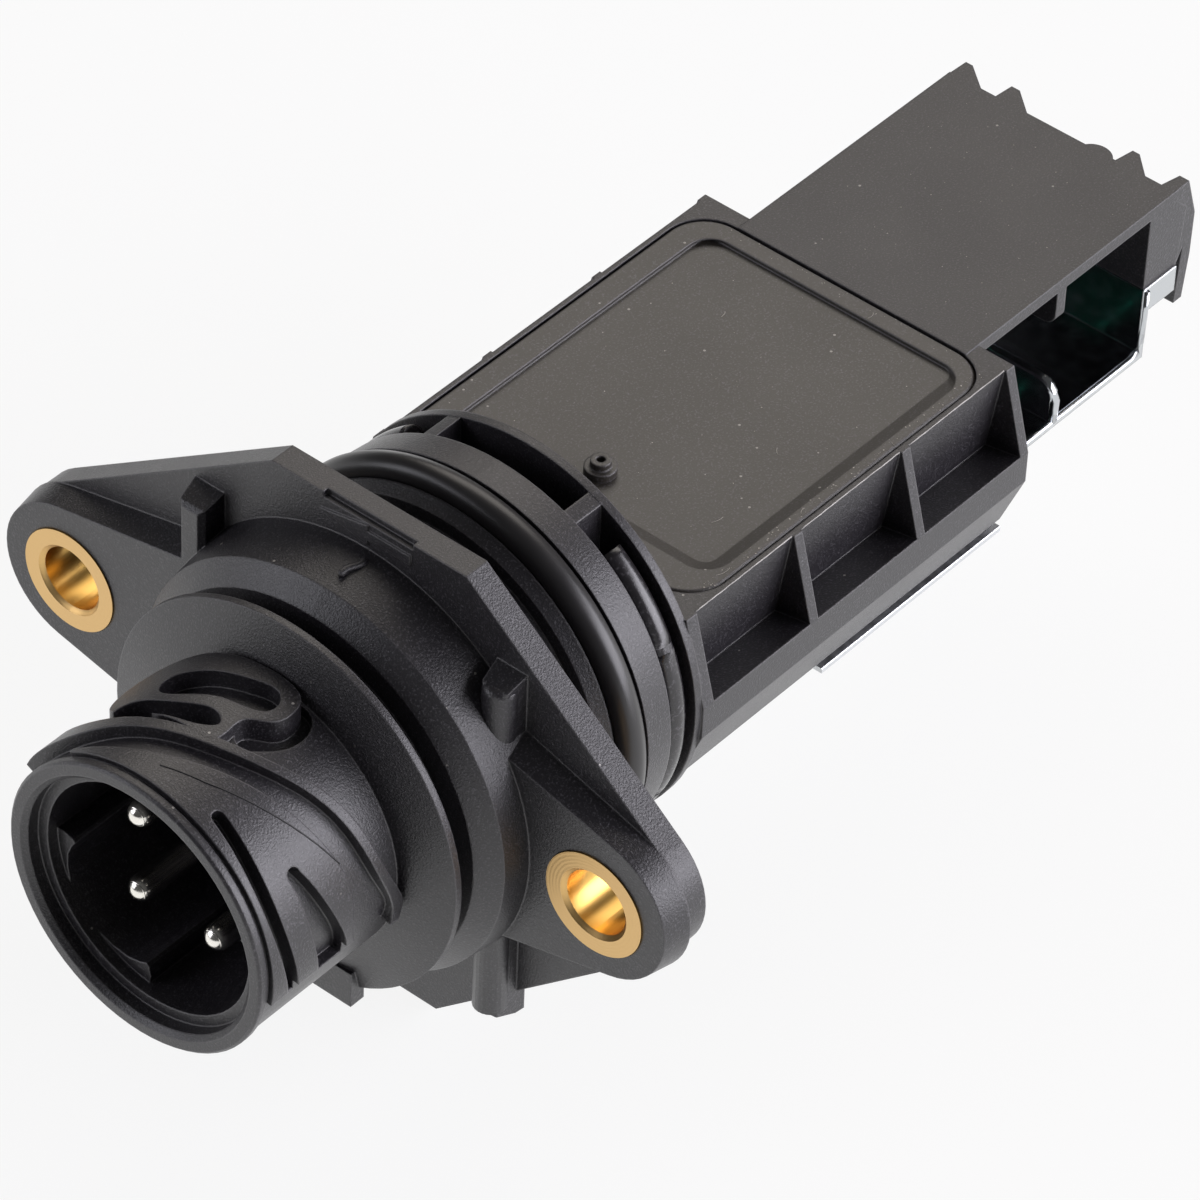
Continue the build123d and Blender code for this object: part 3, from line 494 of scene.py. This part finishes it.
# Sealing ring
# A nitrile O-ring, pressed in a two-part mould, that sits in the spigot's groove. Its skin is satin
# with a faint flash line, and it replaces the CAD's coarser ring. The lid's sealant is like it.
pore_mm, bloom_mm, pore_depth_mm = 0.5556, 6.25, 0.01
nitrile, tree = new_material("moulded_nitrile_rubber")
where = add(tree, "ShaderNodeTexCoord").outputs["Object"]
pores = add(tree, "ShaderNodeTexNoise", Vector=where, Scale=1000 / pore_mm, Detail=2.0)
bloom = add(tree, "ShaderNodeTexNoise", Vector=where, Scale=1000 / bloom_mm, Detail=3.0).outputs["Fac"]
tone = add(tree, "ShaderNodeMix", colours, _0=bloom, _6=linear("#1b1a1b"), _7=linear("#262425"))
gloss = add(tree, "ShaderNodeMapRange", _0=bloom, _1=0.3, _2=0.7, _3=0.32, _4=0.42)
dents = add(
    tree, "ShaderNodeBump", Strength=0.3, Distance=pore_depth_mm / 1000, Height=pores.outputs["Fac"]
)
rubber = add(
    tree, "ShaderNodeBsdfPrincipled", Base_Color=tone.outputs[2], Roughness=gloss.outputs[0],
    IOR=1.52, Normal=dents.outputs[0],
)
add(tree, "ShaderNodeOutputMaterial", Surface=rubber.outputs[0])

section_r, flash_height, flash_sides = 1.45, 0.03, (3, 17)
section_sides, ring_steps = 28, 180
low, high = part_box("sealing_ring")
centre_x, path_r = 500 * (low.x + high.x), 1000 * high.z - section_r
points = []
for step in range(ring_steps):
    for side in range(section_sides):
        turn = 2 * math.pi * side / section_sides
        reach = section_r + (flash_height if side in flash_sides else 0.0)
        points.append(around_axis(
            centre_x + reach * math.sin(turn), 360 * step / ring_steps, path_r + reach * math.cos(turn),
        ))
faces = ring_skin(ring_steps, section_sides, closed=True)
ring = mesh_piece("moulded_ring", points, faces, nitrile)
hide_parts("sealing_ring")
dress("lid_seal", nitrile)


# Contact pins
# Solid brass pins under bright tin, moulded into the body. They are drawn round, which leaves
# faint lines along them, and each is rolled to a domed nose. The wires to the board are alike.
line_length_mm, line_width_mm, line_depth_mm = 5.556, 0.3704, 0.01
tin, tree = new_material("bright_tinned_pin")
where = add(tree, "ShaderNodeTexCoord").outputs["Object"]
stretched = add(
    tree, "ShaderNodeMapping", Vector=where,
    Scale=(1000 / line_length_mm, 1000 / line_width_mm, 1000 / line_width_mm),
)
drawn = add(tree, "ShaderNodeTexNoise", Vector=stretched.outputs[0], Scale=1.0, Detail=2.0).outputs["Fac"]
gloss = add(tree, "ShaderNodeMapRange", _0=drawn, _1=0.3, _2=0.7, _3=0.14, _4=0.26)
lines = add(tree, "ShaderNodeBump", Strength=0.2, Distance=line_depth_mm / 1000, Height=drawn)
metal = add(
    tree, "ShaderNodeBsdfPrincipled", Base_Color=linear("#dcd9d2"), Metallic=1.0,
    Roughness=gloss.outputs[0], Normal=lines.outputs[0],
)
add(tree, "ShaderNodeOutputMaterial", Surface=metal.outputs[0])

dome_r, dome_height, dome_start, dome_rows, dome_sides = 1.285, 1.37, 1.25, 8, 28
for number in range(1, 5):
    pin_name = "contact_pin_" + str(number)
    dress(pin_name, tin)
    low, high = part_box(pin_name)
    dome_x = 1000 * low.x + dome_start
    axis_y, axis_z = 500 * (low.y + high.y), 500 * (low.z + high.z)
    points = []
    for row in range(dome_rows):
        lean = math.pi / 2 * row / dome_rows
        x, reach = dome_x - dome_height * math.sin(lean), dome_r * math.cos(lean)
        for side in range(dome_sides):
            turn = 2 * math.pi * side / dome_sides
            points.append((x, axis_y + reach * math.cos(turn), axis_z + reach * math.sin(turn)))
    tip, last_ring = len(points), len(points) - dome_sides
    points.append((dome_x - dome_height, axis_y, axis_z))
    faces = ring_skin(dome_rows, dome_sides)
    faces += [(last_ring + side, tip, last_ring + (side + 1) % dome_sides) for side in range(dome_sides)]
    mesh_piece("pin_nose_" + str(number), points, faces, tin)
dress("bond_wires", tin)


# Duct liner
# Stainless sheet, folded and polished, that lines the duct and closes the housing's underside. It
# mirrors the dark roof above it, so the bright parts are its rolled edges and the lit floor.
wave_mm, wave_depth_mm, rub_mm, fold_mm = 11.11, 0.2, 1.4286, 0.3
stainless, tree = new_material("polished_stainless_sheet")
where = add(tree, "ShaderNodeTexCoord").outputs["Object"]
waves = add(tree, "ShaderNodeTexNoise", Vector=where, Scale=1000 / wave_mm, Detail=2.0)
rub = add(tree, "ShaderNodeTexNoise", Vector=where, Scale=1000 / rub_mm, Detail=4.0)
gloss = add(tree, "ShaderNodeMapRange", _0=rub.outputs["Fac"], _1=0.35, _2=0.75, _3=0.07, _4=0.2)
soft = add(tree, "ShaderNodeBevel", {"samples": 6}, Radius=fold_mm / 1000)
sheet_waves = add(
    tree, "ShaderNodeBump", Strength=0.25, Distance=wave_depth_mm / 1000,
    Height=waves.outputs["Fac"], Normal=soft.outputs[0],
)
metal = add(
    tree, "ShaderNodeBsdfPrincipled", Base_Color=linear("#b4b7ba"), Metallic=1.0,
    Roughness=gloss.outputs[0], Normal=sheet_waves.outputs[0],
)
add(tree, "ShaderNodeOutputMaterial", Surface=metal.outputs[0])
dress("duct_liner", stainless)

near_y, rim_section_r, divider_x, divider_section_r = -13.9, 0.34, 76.7, 0.52
rim = ((66.0, -7.25), (75.0, -7.25), (88.6, -7.25), (89.5, -6.9), (89.95, -6.0), (90.1, -3.0), (90.1, 0.0))
points, faces = swept([(x, near_y, z) for x, z in rim], rim_section_r, 12)
mesh_piece("liner_rolled_edge", points, faces, stainless)
divider = (
    (near_y + 0.1, -7.2), (near_y, -4.6), (near_y + 0.25, -3.7), (near_y + 0.9, -3.0),
    (near_y + 1.9, -2.75), (0.0, -2.75), (13.6, -2.75),
)
points, faces = swept([(divider_x, y, z) for y, z in divider], divider_section_r, 12)
mesh_piece("divider_rolled_edge", points, faces, stainless)


# Sheared edges of the base sheet
# The liner's base is cut from the same stainless sheet and stands out under both sides of the
# housing. The shear leaves its edge torn and matt, with streaks across the thickness.
streak_width_mm, streak_length_mm, streak_depth_mm = 0.7407, 3.333, 0.03
sheared_edge, tree = new_material("sheared_stainless_edge")
where = add(tree, "ShaderNodeTexCoord").outputs["Object"]
stretched = add(
    tree, "ShaderNodeMapping", Vector=where,
    Scale=(1000 / streak_width_mm, 1000 / streak_width_mm, 1000 / streak_length_mm),
)
shear = add(tree, "ShaderNodeTexNoise", Vector=stretched.outputs[0], Scale=1.0, Detail=3.0).outputs["Fac"]
gloss = add(tree, "ShaderNodeMapRange", _0=shear, _1=0.3, _2=0.7, _3=0.38, _4=0.6)
tears = add(tree, "ShaderNodeBump", Strength=0.3, Distance=streak_depth_mm / 1000, Height=shear)
metal = add(
    tree, "ShaderNodeBsdfPrincipled", Base_Color=linear("#c4c6c8"), Metallic=1.0,
    Roughness=gloss.outputs[0], Normal=tears.outputs[0],
)
add(tree, "ShaderNodeOutputMaterial", Surface=metal.outputs[0])

base_start_x, base_end_x = 38.6, 64.4
base_section = ((13.9, -9.70), (17.62, -9.70), (17.70, -9.78), (17.70, -10.25), (13.9, -10.25))
for name, side in (("base_flange_near", -1), ("base_flange_far", 1)):
    points = [(x, side * y, z) for x in (base_start_x, base_end_x) for y, z in base_section]
    faces = end_caps(2, len(base_section)) + ring_skin(2, len(base_section))
    faces = faces if side > 0 else [face[::-1] for face in faces]
    mesh_piece(name, points, faces, sheared_edge, smooth=False)


# Circuit and sensing blade
# A fired alumina board under green glaze carries chips moulded in black epoxy and sand-coloured
# ceramic capacitors. A thin blade, glazed like the board, reaches into the duct.
def fired_part(name, dark, light, roughness, speck_mm):
    """A fired or moulded small part with a little mottle in its colour."""
    mottle_depth_mm = 0.01
    material, tree = new_material(name)
    where = add(tree, "ShaderNodeTexCoord").outputs["Object"]
    mottle = add(tree, "ShaderNodeTexNoise", Vector=where, Scale=1000 / speck_mm, Detail=3.0).outputs["Fac"]
    tone = add(tree, "ShaderNodeMix", colours, _0=mottle, _6=linear(dark), _7=linear(light))
    bump = add(tree, "ShaderNodeBump", Strength=0.2, Distance=mottle_depth_mm / 1000, Height=mottle)
    skin = add(
        tree, "ShaderNodeBsdfPrincipled", Base_Color=tone.outputs[2], Roughness=roughness,
        Normal=bump.outputs[0],
    )
    add(tree, "ShaderNodeOutputMaterial", Surface=skin.outputs[0])
    return material


green_glaze = fired_part("green_glazed_alumina", "#1d5a48", "#26705a", 0.3, 0.8)
epoxy = fired_part("moulded_epoxy", "#191919", "#232323", 0.55, 0.3)
capacitor_ceramic = fired_part("barium_titanate_capacitor", "#8a7250", "#9c835f", 0.5, 0.4)
resistor_glaze = fired_part("thick_film_resistor_glaze", "#15161a", "#202127", 0.25, 0.4)
for material, carriers in (
    (green_glaze, ("circuit_board", "sensing_element")),
    (epoxy, ("control_chip", "output_chip", "element_holder")),
    (capacitor_ceramic, ("chip_capacitors",)),
    (resistor_glaze, ("chip_resistors", "thermistor")),
    (tin, ("heater_film",)),
):
    for node_name in carriers:
        dress(node_name, material)
